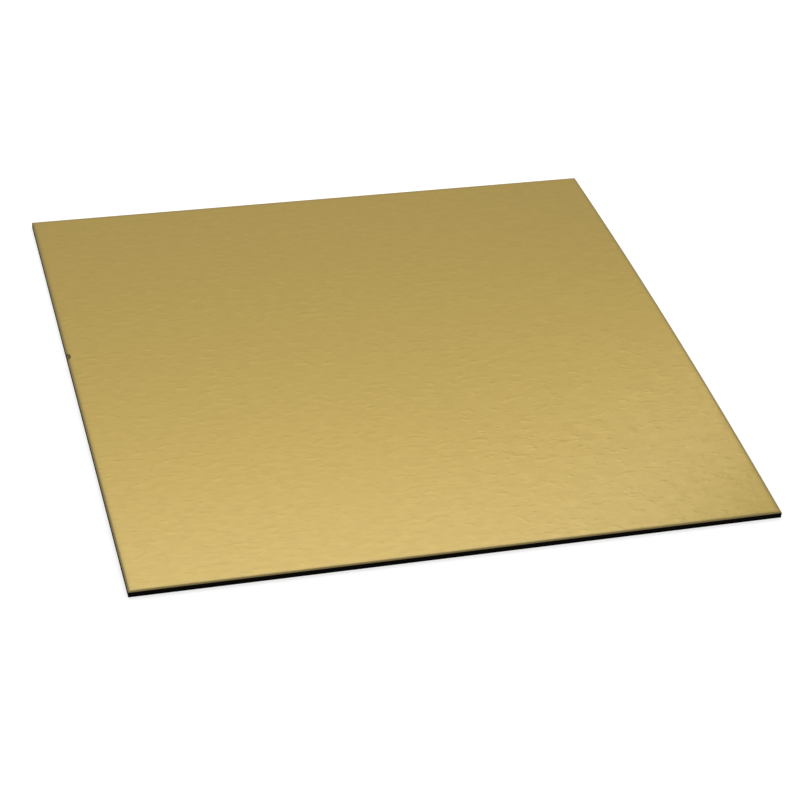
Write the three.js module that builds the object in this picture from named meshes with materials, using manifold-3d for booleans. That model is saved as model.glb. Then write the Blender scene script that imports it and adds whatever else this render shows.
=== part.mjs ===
// Square cake board: one die-cut piece of solid card, gold foil paper on top, black underneath.
// Millimetres, +Z up. The origin is under the middle of the board, on the table.
// The front edge faces -Y. The right half has warped: the middle of its edge stands off the table.

import * as THREE from "three";
import { mergeVertices } from "three/addons/utils/BufferGeometryUtils.js";
import Module from "manifold-3d";

// The blank
const boardWidth = 280; // left to right
const boardDepth = 280; // front to back
const boardThickness = 3;

// The die presses the foil down all round the top edge: a quarter ellipse in section.
const pressWidth = 1.2; // inward from the cut side, and the corner's radius in plan
const pressDrop = 0.9; // down from the top face

// The warp, level at the front and back corners and highest halfway between them
const crownHeight = 3; // at the middle of the right edge
const crownStart = 20; // X where the board leaves the table

// A knock on the left edge, through the foil and into the card
const nickLength = 3.6; // along the edge
const nickDepth = 1.1; // into the card, square to the pressed edge
const nickY = 23.5;

// The mesh
const pressSteps = 5; // facets over the pressed edge
const columns = 16; // across the width, between the pressed edges
const rows = 20; // from front to back
const nickSteps = 16;

const wasm = await Module();
wasm.setup();

function solidFrom(geometry) {
  geometry.deleteAttribute("normal");
  geometry.deleteAttribute("uv");
  const merged = mergeVertices(geometry);
  return new wasm.Manifold(
    new wasm.Mesh({
      numProp: 3,
      vertProperties: merged.attributes.position.array,
      triVerts: new Uint32Array(merged.index.array),
    }),
  );
}

function geometryFrom(solid) {
  const mesh = solid.getMesh();
  const geometry = new THREE.BufferGeometry();
  geometry.setAttribute("position", new THREE.BufferAttribute(mesh.vertProperties, 3));
  geometry.setIndex(new THREE.BufferAttribute(mesh.triVerts, 1));
  geometry.computeVertexNormals();
  return geometry;
}

// Places the grid lines of one axis: even steps over the field, then equal turns over the
// pressed edge at either end. Returns, for line i, the field's own coordinate and how far
// the edge has turned there, from 0 on the field to 1 at the cut side.
function gridLine(i, fieldLength, fieldSteps) {
  const fromField = i - pressSteps;
  const inField = THREE.MathUtils.clamp(fromField, 0, fieldSteps);
  const turned = (fromField - inField) / pressSteps;
  return { place: (inField / fieldSteps - 0.5) * fieldLength, turned };
}

// Turns a grid point of the flat top into its place on the pressed edge.
function overEdge(across, along) {
  const turned = Math.max(Math.abs(across.turned), Math.abs(along.turned));
  const direction = new THREE.Vector2(across.turned, along.turned).normalize();
  const angle = (turned * Math.PI) / 2;
  return {
    x: across.place + direction.x * pressWidth * Math.sin(angle),
    y: along.place + direction.y * pressWidth * Math.sin(angle),
    drop: pressDrop * (1 - Math.cos(angle)),
  };
}

// How far the warped board stands off the table at a point.
function crownAt(x, y) {
  const reach = Math.max(0, (x - crownStart) / (boardWidth / 2 - crownStart));
  const fromMiddle = y / (boardDepth / 2);
  return crownHeight * reach ** 2 * (1 - fromMiddle ** 2);
}

function makeBoard() {
  const across = columns + 2 * pressSteps;
  const along = rows + 2 * pressSteps;
  const blank = new THREE.BoxGeometry(1, 1, 1, across, along, 1);
  const points = blank.attributes.position;
  for (let k = 0; k < points.count; k++) {
    const column = Math.round((points.getX(k) + 0.5) * across);
    const row = Math.round((points.getY(k) + 0.5) * along);
    const onTop = points.getZ(k) > 0;
    const { x, y, drop } = overEdge(
      gridLine(column, boardWidth - 2 * pressWidth, columns),
      gridLine(row, boardDepth - 2 * pressWidth, rows),
    );
    const flatHeight = onTop ? boardThickness - drop : 0;
    points.setXYZ(k, x, y, flatHeight + crownAt(x, y));
  }
  return solidFrom(blank);
}

// The nick is a scoop: a cap of a ball, its chord and depth the nick's, pushed into the
// pressed edge at the slope of the edge's own chord.
function makeNick() {
  const radius = (nickLength ** 2 / 4 + nickDepth ** 2) / (2 * nickDepth);
  const outward = new THREE.Vector3(-pressDrop, 0, pressWidth).normalize();
  const edge = new THREE.Vector3(
    -boardWidth / 2 + pressWidth * (1 - Math.SQRT1_2),
    nickY,
    boardThickness - pressDrop * (1 - Math.SQRT1_2),
  );
  const centre = edge.addScaledVector(outward, radius - nickDepth);
  const ball = new THREE.SphereGeometry(radius, 2 * nickSteps, nickSteps);
  ball.translate(centre.x, centre.y, centre.z);
  return solidFrom(ball);
}

const foilGold = new THREE.MeshStandardMaterial({
  color: 0xc8ad66,
  metalness: 0.85,
  roughness: 0.42,
});

const board = new THREE.Mesh(geometryFrom(makeBoard().subtract(makeNick())), foilGold);
board.name = "cake_board";

const cakeBoard = new THREE.Group();
cakeBoard.add(board);

export default cakeBoard;
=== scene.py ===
import math

import bmesh
import bpy
from mathutils import Matrix, Vector, noise


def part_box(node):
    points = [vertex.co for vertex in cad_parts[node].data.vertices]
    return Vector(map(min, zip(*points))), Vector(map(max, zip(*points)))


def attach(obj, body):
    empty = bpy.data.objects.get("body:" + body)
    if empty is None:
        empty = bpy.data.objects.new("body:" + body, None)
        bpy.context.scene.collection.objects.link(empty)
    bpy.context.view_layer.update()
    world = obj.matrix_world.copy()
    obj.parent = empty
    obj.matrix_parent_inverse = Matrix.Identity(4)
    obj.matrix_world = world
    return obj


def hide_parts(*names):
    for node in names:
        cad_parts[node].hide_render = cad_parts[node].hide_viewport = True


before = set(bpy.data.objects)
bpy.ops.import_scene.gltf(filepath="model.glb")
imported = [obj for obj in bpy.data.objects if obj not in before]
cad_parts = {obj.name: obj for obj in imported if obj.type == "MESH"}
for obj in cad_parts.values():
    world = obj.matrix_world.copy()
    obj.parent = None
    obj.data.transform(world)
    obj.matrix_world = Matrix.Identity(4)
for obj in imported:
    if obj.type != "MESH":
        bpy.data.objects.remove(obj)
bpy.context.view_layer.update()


# small helpers

def fromHex(code):
    channels = [int(code[i:i + 2], 16) / 255 for i in (1, 3, 5)]
    linear = [c / 12.92 if c <= 0.04045 else ((c + 0.055) / 1.055) ** 2.4 for c in channels]
    return (*linear, 1.0)


def addNode(tree, kind, settings=None, links=None):
    # a setting is a socket's value, by its name or number, a ramp's stops, or one of the node's options
    node = tree.nodes.new(kind)
    for key, value in (settings or {}).items():
        if key == "stops":
            for point, (place, colour) in zip(node.color_ramp.elements, value):
                point.position = place
                point.color = colour
        elif isinstance(key, int) or key in node.inputs:
            node.inputs[key].default_value = value
        else:
            setattr(node, key, value)
    for key, source in (links or {}).items():
        tree.links.new(source, node.inputs[key])
    return node


def newMaterial(name):
    material = bpy.data.materials.new(name)
    material.use_nodes = True
    material.node_tree.nodes.clear()
    return material


def addObject(name, data):
    thing = bpy.data.objects.new(name, data)
    bpy.context.scene.collection.objects.link(thing)
    return thing


def meshFrom(bm, name):
    mesh = bpy.data.meshes.new(name)
    bm.to_mesh(mesh)
    bm.free()
    return mesh


def smoothStep(low, high, value):
    part = min(1, max(0, (value - low) / (high - low)))
    return part * part * (3 - 2 * part)


# the board

boardSizes = {
    "thickness": 0.003,
    "pressWidth": 0.0012,      # how far in the die presses the top edge
    "pressDrop": 0.00050,      # and how far down
    "pressSegments": 6,
    "rollWidth": 0.0030,       # the foil falls away softly before the pressed edge
    "rollDrop": 0.00003,
    "crownHeight": 0.003,      # of the right edge's middle, off the table
    "crownStart": 0.020,       # where the warp begins, right of the middle
    "gridCells": 148,
    "edgeLines": (0, 0.0015, 0.0021, 0.0028, 0.0037, 0.0054),  # grid lines, in from each edge
    "uprightBelow": 0.3,       # a face whose normal rises less than this belongs to the cut side
    "sharpAngle": 40,          # degrees, past which an edge stays crisp
    "nickPlace": 0.0242,       # along the left edge, from its middle
    "nickLength": 0.0050,
    "nickDepth": 0.0009,
    "nickOutward": (-0.6, 0, 0.8),       # the way the knock came from
    "nickOverEdge": 0.3,       # how far across and down the pressed edge it struck
    "nickCuts": ((3, 2.2), (1, 1.25)),   # cuts for finer faces, and their reach in half lengths
    "nickRagged": 0.00012,     # torn card round the scoop
    "nickFibres": 2500,        # per metre
    "nickTorn": 0.0018,        # bare card this far in from the cut side
    "handledAcross": (-0.02, 0.09),      # the marks grow to the right between these, and to the
    "handledForward": (0.02, -0.09),     # front between these, as if that corner was held
    "swellHeight": 0.000012,   # slow waves in the card under the foil
    "swellLength": 0.055,
    "swellSlice": 0.3,         # where the noise is cut, which picks the waves
    "dentHeight": 0.000042,    # small knocks, most of them near the front right corner
    "dentLength": 0.0085,
    "dentSlice": 0.05,
    "dentElsewhere": 0.15,     # share of their height away from that corner
}
roundingError = 1e-6  # metres


def crownAt(x, y, half):
    reach = max(0, (x - boardSizes["crownStart"]) / (half.x - boardSizes["crownStart"]))
    return boardSizes["crownHeight"] * reach ** 2 * (1 - (y / half.y) ** 2)


def crowdLine(place, halfLength):
    # the grid's outer lines move out to where the foil rolls over
    fromEdge = halfLength - abs(place)
    line = round(fromEdge / (2 * halfLength / boardSizes["gridCells"]))
    if line < len(boardSizes["edgeLines"]):
        fromEdge = boardSizes["edgeLines"][line]
    return math.copysign(halfLength - fromEdge, place)


def cutBlank(bm, half):
    cells = boardSizes["gridCells"]
    bmesh.ops.create_grid(bm, x_segments=cells, y_segments=cells, size=1)
    bmesh.ops.scale(bm, vec=(half.x, half.y, 1), verts=bm.verts)
    for v in bm.verts:
        v.co.x = crowdLine(v.co.x, half.x)
        v.co.y = crowdLine(v.co.y, half.y)
    bmesh.ops.solidify(bm, geom=bm.faces[:], thickness=boardSizes["thickness"])
    lowest = min(v.co.z for v in bm.verts)
    bmesh.ops.translate(bm, vec=(0, 0, -lowest), verts=bm.verts)
    bmesh.ops.recalc_face_normals(bm, faces=bm.faces)


def isUpright(face):
    return abs(face.normal.z) < boardSizes["uprightBelow"]


def pressEdges(bm, half):
    top, pressWidth = boardSizes["thickness"], boardSizes["pressWidth"]
    rim = [edge for edge in bm.edges if min(v.co.z for v in edge.verts) > top - roundingError
           and any(isUpright(face) for face in edge.link_faces)]
    bmesh.ops.bevel(bm, geom=rim, offset=pressWidth, affect="EDGES",
                    segments=boardSizes["pressSegments"], profile=0.5, material=-1)
    flatten = boardSizes["pressDrop"] / pressWidth
    rollRoom = boardSizes["rollWidth"] - pressWidth
    rolling = bm.verts.layers.float.new("rolling")  # 0 on the flat foil, 1 at the cut side
    for v in bm.verts:
        below = top - v.co.z
        if below < pressWidth + roundingError:
            fromEdge = (half.x - abs(v.co.x), half.y - abs(v.co.y))
            rolled = [max(0, 1 - max(0, gap - pressWidth) / rollRoom) for gap in fromEdge]
            drop = boardSizes["rollDrop"] * math.hypot(rolled[0] ** 2, rolled[1] ** 2)
            v[rolling] = max(0, 1 - min(fromEdge) / boardSizes["rollWidth"])
            v.co.z = top - below * flatten - drop


def knockNick(bm, half):
    # a scoop out of the pressed edge, as a ball with the nick's chord and depth leaves it
    length, depth = boardSizes["nickLength"], boardSizes["nickDepth"]
    overEdge = boardSizes["nickOverEdge"]
    radius = (length ** 2 / 4 + depth ** 2) / (2 * depth)
    struck = Vector((-half.x + boardSizes["pressWidth"] * overEdge, boardSizes["nickPlace"],
                     boardSizes["thickness"] - boardSizes["pressDrop"] * overEdge))
    centre = struck + Vector(boardSizes["nickOutward"]) * (radius - depth)
    for cuts, reach in boardSizes["nickCuts"]:
        near = [edge for edge in bm.edges if all(v.co.z > 0 for v in edge.verts)
                and any((v.co - struck).length < length * reach / 2 for v in edge.verts)]
        bmesh.ops.subdivide_edges(bm, edges=near, cuts=cuts, use_grid_fill=True)
    bmesh.ops.triangulate(bm, faces=[face for face in bm.faces if len(face.verts) > 4])
    torn = bm.verts.layers.int.new("torn")
    for v in bm.verts:
        away = v.co - centre
        if away.length < radius and v.co.z > 0:
            v[torn] = v.co.x < boardSizes["nickTorn"] - half.x
            rough = noise.noise(v.co * boardSizes["nickFibres"]) * boardSizes["nickRagged"]
            v.co = centre + away.normalized() * (radius + rough)


def paintFaces(bm):
    # 0 foil, 1 cut card, 2 liner, 3 torn card
    torn = bm.verts.layers.int["torn"]
    foilEnd = boardSizes["thickness"] - boardSizes["pressDrop"] - boardSizes["rollDrop"]
    for face in bm.faces:
        height = face.calc_center_median().z
        face.smooth = True
        if height < roundingError:
            face.material_index = 2
        elif all(v[torn] for v in face.verts):
            face.material_index = 3
        elif height < foilEnd and isUpright(face):
            face.material_index = 1
    sharp = math.radians(boardSizes["sharpAngle"])
    for edge in bm.edges:
        edge.smooth = len(edge.link_faces) != 2 or edge.calc_face_angle(0) < sharp


def warpBoard(bm, half):
    foilFrom = boardSizes["thickness"] - boardSizes["pressDrop"] / 2
    handled = bm.verts.layers.float.new("handled")  # 1 where a hand has held the board
    for v in bm.verts:
        x, y = v.co.x, v.co.y
        v[handled] = (smoothStep(*boardSizes["handledAcross"], x)
                      * smoothStep(*boardSizes["handledForward"], y))
        if v.co.z > foilFrom:
            swell = noise.noise(Vector((x, y, boardSizes["swellSlice"])) / boardSizes["swellLength"])
            dent = noise.noise(Vector((x, y, boardSizes["dentSlice"])) / boardSizes["dentLength"])
            v.co.z += swell * boardSizes["swellHeight"]
            v.co.z += dent * boardSizes["dentHeight"] * (boardSizes["dentElsewhere"] + v[handled])
        v.co.z += crownAt(x, y, half)


def makeBoard():
    low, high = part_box("cake_board")
    half = (Vector(high) - Vector(low)) / 2
    bm = bmesh.new()
    cutBlank(bm, half)
    pressEdges(bm, half)
    knockNick(bm, half)
    paintFaces(bm)
    warpBoard(bm, half)
    mesh = meshFrom(bm, "goldCakeBoard")
    board = addObject("goldCakeBoard", mesh)
    for material in (goldFoilPaper(), blackCutCard(), blackLinerPaper(), tornCard()):
        mesh.materials.append(material)
    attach(board, "root")
    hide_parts("cake_board")
    print("board made,", len(mesh.polygons), "faces")


# the foil

foilLook = {
    "gold": "#958040",
    "goldBrown": "#907b3c",
    "goldSpread": (0.3, 0.7),        # where the two golds stand in the fibre noise
    "grazingGold": "#f9dd84",        # the lacquer still colours the foil at a low angle
    "paintedEdgeShade": "#695c33",        # painted shade: the foil's colour darkens over the pressed edge towards the cut side
    "edgeShadePower": 2.5,                # how late the painted shade comes, on the way out to the cut
    "roughness": (0.39, 0.43),
    "fibreSize": (0.0060, 0.0028),   # card fibres and glue that show through the foil, drawn
    "fibreHeight": 0.0000250,        # coarser than real ones so that they can be seen
    "peelLength": 0.0011,            # the fine orange peel of the lacquer
    "peelHeight": 0.0000040,
    "dimpleSize": (0.0046, 0.0024),  # spacing of the small dimples that the glue leaves
    "dimpleEdge": (0.54, 0.76),      # how far they rise out of the noise
    "dimpleHeight": 0.0000340,
    "handledMore": 1.9,              # how much deeper they are where the board was handled
    "knockPlace": (0.0212, -0.0745, 0.003),  # one sharper knock that catches the light
    "knockSize": 0.0016,
    "knockHeight": 0.0000500,
    "coat": 0.60,
    "coatRoughness": 0.24,
}


def foilColour(tree, fibre):
    # the lacquer's two golds, and painted shade on the foil over the edge
    low, high = foilLook["goldSpread"]
    lacquer = addNode(tree, "ShaderNodeValToRGB",
                      {"stops": ((low, fromHex(foilLook["gold"])),
                                 (high, fromHex(foilLook["goldBrown"])))}, {"Fac": fibre})
    rolling = addNode(tree, "ShaderNodeAttribute", {"attribute_name": "rolling"})
    # painted shade: the foil's colour is mixed towards a dark gold, most at the cut side
    edgeShadeAmount = addNode(tree, "ShaderNodeMath", {"operation": "POWER", 1: foilLook["edgeShadePower"]},
                     {0: rolling.outputs["Fac"]})
    overEdge = addNode(tree, "ShaderNodeMix",
                       {"data_type": "RGBA", 7: fromHex(foilLook["paintedEdgeShade"])},
                       {0: edgeShadeAmount.outputs[0], 6: lacquer.outputs["Color"]})
    return overEdge.outputs[2]


def dimpleRelief(tree, place):
    # rounded spots picked out of a noise, deeper in the handled corner
    across, along = (1 / size for size in foilLook["dimpleSize"])
    low, high = foilLook["dimpleEdge"]
    spread = addNode(tree, "ShaderNodeMapping", {"Scale": (across, along, along)}, {"Vector": place})
    spots = addNode(tree, "ShaderNodeTexNoise", {"Scale": 1.0, "Detail": 1.0},
                    {"Vector": spread.outputs["Vector"]})
    dimples = addNode(tree, "ShaderNodeMapRange",
                      {"interpolation_type": "SMOOTHSTEP", "From Min": low, "From Max": high},
                      {"Value": spots.outputs["Fac"]})
    handled = addNode(tree, "ShaderNodeAttribute", {"attribute_name": "handled"})
    deeper = addNode(tree, "ShaderNodeMapRange", {"To Min": 1.0, "To Max": foilLook["handledMore"]},
                     {"Value": handled.outputs["Fac"]})
    relief = addNode(tree, "ShaderNodeMath", {"operation": "MULTIPLY"},
                     {0: dimples.outputs["Result"], 1: deeper.outputs["Result"]})
    return relief.outputs[0]


def knockRelief(tree, place):
    fromKnock = addNode(tree, "ShaderNodeVectorMath",
                        {"operation": "DISTANCE", 1: foilLook["knockPlace"]}, {0: place})
    knock = addNode(tree, "ShaderNodeMapRange",
                    {"interpolation_type": "SMOOTHSTEP", "From Min": foilLook["knockSize"],
                     "From Max": 0.0}, {"Value": fromKnock.outputs["Value"]})
    return knock.outputs["Result"]


def goldFoilPaper():
    # Aluminium foil paper with a gold lacquer, rolled onto card. To the eye: a soft satin metal that
    # shows light as a wide glow, broken by fine flecks where the card's fibres stand through.
    material = newMaterial("gold lacquered foil paper")
    tree = material.node_tree
    place = addNode(tree, "ShaderNodeTexCoord").outputs["Object"]
    across, along = (1 / size for size in foilLook["fibreSize"])
    laid = addNode(tree, "ShaderNodeMapping", {"Scale": (across, along, along)}, {"Vector": place})
    fibre = addNode(tree, "ShaderNodeTexNoise", {"Scale": 1.0, "Detail": 3.0, "Roughness": 0.55},
                    {"Vector": laid.outputs["Vector"]}).outputs["Fac"]
    peel = addNode(tree, "ShaderNodeTexNoise", {"Scale": 1 / foilLook["peelLength"], "Detail": 1.0},
                   {"Vector": place}).outputs["Fac"]
    satin = addNode(tree, "ShaderNodeMapRange",
                    {"To Min": foilLook["roughness"][0], "To Max": foilLook["roughness"][1]},
                    {"Value": fibre})
    fibreBump = addNode(tree, "ShaderNodeBump", {"Distance": foilLook["fibreHeight"]},
                        {"Height": fibre})
    peelBump = addNode(tree, "ShaderNodeBump", {"Distance": foilLook["peelHeight"]},
                       {"Height": peel, "Normal": fibreBump.outputs["Normal"]})
    dimpleBump = addNode(tree, "ShaderNodeBump", {"Distance": foilLook["dimpleHeight"]},
                         {"Height": dimpleRelief(tree, place), "Normal": peelBump.outputs["Normal"]})
    knockBump = addNode(tree, "ShaderNodeBump", {"Distance": foilLook["knockHeight"]},
                        {"Height": knockRelief(tree, place), "Normal": dimpleBump.outputs["Normal"]})
    shader = addNode(tree, "ShaderNodeBsdfPrincipled",
                     {"Metallic": 1.0, "Specular Tint": fromHex(foilLook["grazingGold"]),
                      "Coat Weight": foilLook["coat"], "Coat Roughness": foilLook["coatRoughness"]},
                     {"Base Color": foilColour(tree, fibre), "Roughness": satin.outputs["Result"],
                      "Normal": knockBump.outputs["Normal"]})
    addNode(tree, "ShaderNodeOutputMaterial", None, {"Surface": shader.outputs["BSDF"]})
    return material


# the card and its liner

cardLook = {
    "spread": (0.35, 0.75),         # where the two colours of each stand in its noise
    # the cut colours are black card, drawn darker than black card is: partly real colour, partly
    # painted shade on the cut sides
    "cutColoursWithShade": ("#050403", "#0a0705"),
    "cutRoughness": (0.85, 0.97),
    "cutGloss": 0.05,
    "plySize": 0.0007,              # layers of the card as fine lines, drawn coarser to show
    "plyStretch": 12,               # how much further a line runs along the cut
    "plyHeight": 0.00004,
    "tornColours": ("#554727", "#8e7a49"),
    "tornGloss": 0.1,
    "tearSize": 0.0006,
    "tearHeight": 0.00008,
    "linerColours": ("#121211", "#1b1a19"),
    "linerRoughness": (0.42, 0.55),
    "linerGloss": 0.5,
    "linerGrain": 0.0009,           # paper grain, drawn coarser to show
    "linerHeight": 0.000006,
}


def grainedCard(name, grainSize, height, colours, roughness, gloss):
    material = newMaterial(name)
    tree = material.node_tree
    place = addNode(tree, "ShaderNodeTexCoord").outputs["Object"]
    stretched = addNode(tree, "ShaderNodeMapping",
                        {"Scale": tuple(1 / size for size in grainSize)}, {"Vector": place})
    grain = addNode(tree, "ShaderNodeTexNoise", {"Scale": 1.0, "Detail": 3.0},
                    {"Vector": stretched.outputs["Vector"]}).outputs["Fac"]
    stops = tuple(zip(cardLook["spread"], (fromHex(colour) for colour in colours)))
    shade = addNode(tree, "ShaderNodeValToRGB", {"stops": stops}, {"Fac": grain})
    satin = addNode(tree, "ShaderNodeMapRange", {"To Min": roughness[0], "To Max": roughness[1]},
                    {"Value": grain})
    bump = addNode(tree, "ShaderNodeBump", {"Distance": height}, {"Height": grain})
    shader = addNode(tree, "ShaderNodeBsdfPrincipled", {"Specular IOR Level": gloss},
                     {"Base Color": shade.outputs["Color"], "Roughness": satin.outputs["Result"],
                      "Normal": bump.outputs["Normal"]})
    addNode(tree, "ShaderNodeOutputMaterial", None, {"Surface": shader.outputs["BSDF"]})
    return material


def blackCutCard():
    # Black dyed greyboard, cut with a die: dull and very dark, with the plies as faint lines. Its
    # colour is drawn darker than black card is, which is painted shade on the cut sides.
    ply = cardLook["plySize"]
    along = ply * cardLook["plyStretch"]
    return grainedCard("black die-cut card", (along, along, ply), cardLook["plyHeight"],
                       cardLook["cutColoursWithShade"], cardLook["cutRoughness"], cardLook["cutGloss"])


def tornCard():
    # Card bared by the knock: matt brown fibres in two tones, rougher than the cut.
    tear = cardLook["tearSize"]
    return grainedCard("torn brown card", (tear, tear, tear), cardLook["tearHeight"],
                       cardLook["tornColours"], cardLook["cutRoughness"], cardLook["tornGloss"])


def blackLinerPaper():
    # Black coated liner paper glued under the card: smooth, a little sheen and a fine paper grain.
    grain = cardLook["linerGrain"]
    return grainedCard("black coated liner paper", (grain, grain, grain), cardLook["linerHeight"],
                       cardLook["linerColours"], cardLook["linerRoughness"], cardLook["linerGloss"])


# the studio

studio = {
    "white": "#ffffff",
    "floorSize": 6.0,
    "floorColour": "#c8c8c7",
    "floorLift": 0.56,            # glow that takes the floor to white where it is seen directly
    "floorDrop": 0.00005,         # keeps the floor off the board's flat underside
    "worldLight": 0.75,           # what it gives dull surfaces; seen directly it is 1
    "boxCentre": (0.070, 0.374, 0.608),
    "boxAim": (0.0, -0.03, 0.0),
    "boxRoll": 5.6,               # degrees
    "boxSize": (0.672, 0.335),
    "boxPower": 1.84,             # watts
}


def seenDirectly(tree):
    # 1 for what the camera, a mirror or glass sees, 0 for light on a dull surface
    path = addNode(tree, "ShaderNodeLightPath")
    either = addNode(tree, "ShaderNodeMath", {"operation": "MAXIMUM"},
                     {0: path.outputs["Is Camera Ray"], 1: path.outputs["Is Glossy Ray"]})
    seen = addNode(tree, "ShaderNodeMath", {"operation": "MAXIMUM"},
                   {0: either.outputs[0], 1: path.outputs["Is Transmission Ray"]})
    return seen.outputs[0]


def makeWorld():
    world = bpy.data.worlds.new("white studio")
    bpy.context.scene.world = world
    world.use_nodes = True
    tree = world.node_tree
    tree.nodes.clear()
    white = fromHex(studio["white"])
    light = addNode(tree, "ShaderNodeBackground", {"Color": white, "Strength": studio["worldLight"]})
    backdrop = addNode(tree, "ShaderNodeBackground", {"Color": white, "Strength": 1.0})
    both = addNode(tree, "ShaderNodeMixShader", None,
                   {0: seenDirectly(tree), 1: light.outputs[0], 2: backdrop.outputs[0]})
    addNode(tree, "ShaderNodeOutputWorld", None, {"Surface": both.outputs[0]})


def mattPaper():
    # Matt white paper sweep. To the eye: plain white, with only the board's faint contact shadow.
    # From below it is clear, so that the board's underside can be seen.
    material = newMaterial("matt white paper sweep")
    tree = material.node_tree
    dull = addNode(tree, "ShaderNodeBsdfDiffuse", {"Color": fromHex(studio["floorColour"])})
    strength = addNode(tree, "ShaderNodeMath", {"operation": "MULTIPLY", 1: studio["floorLift"]},
                       {0: seenDirectly(tree)})
    lift = addNode(tree, "ShaderNodeEmission", {"Color": fromHex(studio["white"])},
                   {"Strength": strength.outputs[0]})
    paper = addNode(tree, "ShaderNodeAddShader", None, {0: dull.outputs[0], 1: lift.outputs[0]})
    clear = addNode(tree, "ShaderNodeBsdfTransparent")
    below = addNode(tree, "ShaderNodeNewGeometry").outputs["Backfacing"]
    oneSided = addNode(tree, "ShaderNodeMixShader", None,
                       {0: below, 1: paper.outputs[0], 2: clear.outputs[0]})
    addNode(tree, "ShaderNodeOutputMaterial", None, {"Surface": oneSided.outputs[0]})
    return material


def makeFloor():
    bm = bmesh.new()
    bmesh.ops.create_grid(bm, x_segments=1, y_segments=1, size=studio["floorSize"] / 2)
    mesh = meshFrom(bm, "floor")
    mesh.materials.append(mattPaper())
    floor = addObject("floor", mesh)
    floor.location.z = -studio["floorDrop"]


def makeSoftbox():
    lamp = bpy.data.lights.new("softbox", "AREA")
    lamp.shape = "RECTANGLE"
    lamp.size, lamp.size_y = studio["boxSize"]
    lamp.energy = studio["boxPower"]
    place, aim = Vector(studio["boxCentre"]), Vector(studio["boxAim"])
    turn = (aim - place).to_track_quat("-Z", "Y").to_matrix().to_4x4()
    roll = Matrix.Rotation(math.radians(studio["boxRoll"]), 4, "Z")
    addObject("softbox", lamp).matrix_world = Matrix.Translation(place) @ turn @ roll


# the camera, worked out from the board's four corners and edges in an 800 x 800 frame

cameraView = {
    "azimuth": -17.615,     # degrees, as are the next two
    "elevation": 35.903,
    "roll": 4.560,
    "target": (-0.00008, -0.03375, 0.003),
    "distance": 1.0451,
    "focalPixels": 2346.6,
    "framePixels": 800,
    "sensor": 36.0,         # millimetres
    "clip": (0.05, 20.0),
}


def makeCamera():
    azimuth, elevation = math.radians(cameraView["azimuth"]), math.radians(cameraView["elevation"])
    back = Vector((math.sin(azimuth) * math.cos(elevation), -math.cos(azimuth) * math.cos(elevation),
                   math.sin(elevation)))
    right = Vector((math.cos(azimuth), math.sin(azimuth), 0))
    upright = Matrix((right, back.cross(right), back)).transposed().to_4x4()
    roll = Matrix.Rotation(math.radians(cameraView["roll"]), 4, "Z")
    data = bpy.data.cameras.new("camera")
    data.sensor_width = cameraView["sensor"]
    data.lens = cameraView["sensor"] * cameraView["focalPixels"] / cameraView["framePixels"]
    data.clip_start, data.clip_end = cameraView["clip"]
    camera = addObject("camera", data)
    place = Vector(cameraView["target"]) + back * cameraView["distance"]
    camera.matrix_world = Matrix.Translation(place) @ upright @ roll
    bpy.context.scene.camera = camera


makeCamera()
print("camera placed")
makeWorld()
makeFloor()
makeSoftbox()
print("studio made")
makeBoard()
bpy.context.scene.view_settings.view_transform = "Standard"
